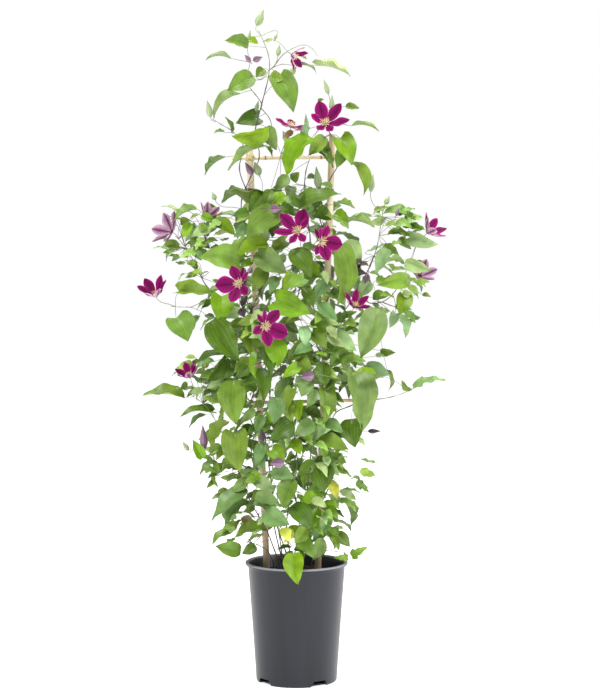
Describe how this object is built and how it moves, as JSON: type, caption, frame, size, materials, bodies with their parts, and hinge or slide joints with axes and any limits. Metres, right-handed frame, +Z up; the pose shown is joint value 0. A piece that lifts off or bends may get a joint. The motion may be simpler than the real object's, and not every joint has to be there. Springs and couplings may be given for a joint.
{
  "type": "potted clematis",
  "caption": "Climbing clematis in flower, tied to a ladder of bamboo canes in a tall round nursery pot, with leafy shoots, carmine star blooms and buds.",
  "frame": {"origin": "on the ground at the axis of the pot, in the plane of the pot's base face", "axes": "+Z up along the pot's axis, -Y towards the viewer that the plant is shown to, +X to that viewer's right, along the rungs"},
  "size_m": [0.5687, 0.2659, 1.2326],
  "materials": {
    "pot_plastic": "satin",
    "compost": "matte",
    "bamboo": "satin",
    "twine": "matte",
    "foliage": "satin",
    "tepal": "matte",
    "stamen": "matte"
  },
  "bodies": {
    "root": {"pot": "pot_plastic", "soil": "compost", "cane_left": "bamboo", "cane_right": "bamboo", "rung_top": "bamboo", "rung_low": "bamboo", "tie_top_left": "twine", "tie_top_right": "twine", "tie_low_left": "twine", "tie_low_right": "twine", "shoot_crown": "foliage", "shoot_left_top": "foliage", "shoot_left_wing": "foliage", "shoot_left_low": "foliage", "shoot_right_top": "foliage", "shoot_right_wing": "foliage", "shoot_right_low": "foliage", "shoot_front": "foliage", "shoot_back": "foliage", "shoot_skirt_left": "foliage", "shoot_skirt_right": "foliage", "flower_top_right_tepals": "tepal", "flower_top_right_stamens": "stamen", "flower_crown_tepals": "tepal", "flower_crown_stamens": "stamen", "flower_top_middle_tepals": "tepal", "flower_top_middle_stamens": "stamen", "flower_middle_left_tepals": "tepal", "flower_middle_left_stamens": "stamen", "flower_middle_right_tepals": "tepal", "flower_middle_right_stamens": "stamen", "flower_left_tepals": "tepal", "flower_left_stamens": "stamen", "flower_centre_tepals": "tepal", "flower_centre_stamens": "stamen", "flower_far_left_tepals": "tepal", "flower_far_left_stamens": "stamen", "flower_wing_left_tepals": "tepal", "flower_wing_left_stamens": "stamen", "flower_wing_left_back_tepals": "tepal", "flower_wing_left_back_stamens": "stamen", "flower_wing_right_tepals": "tepal", "flower_wing_right_stamens": "stamen", "flower_wing_right_back_tepals": "tepal", "flower_wing_right_back_stamens": "stamen", "flower_right_tepals": "tepal", "flower_right_stamens": "stamen", "flower_low_left_tepals": "tepal", "flower_low_left_stamens": "stamen"}
  },
  "joints": []
}
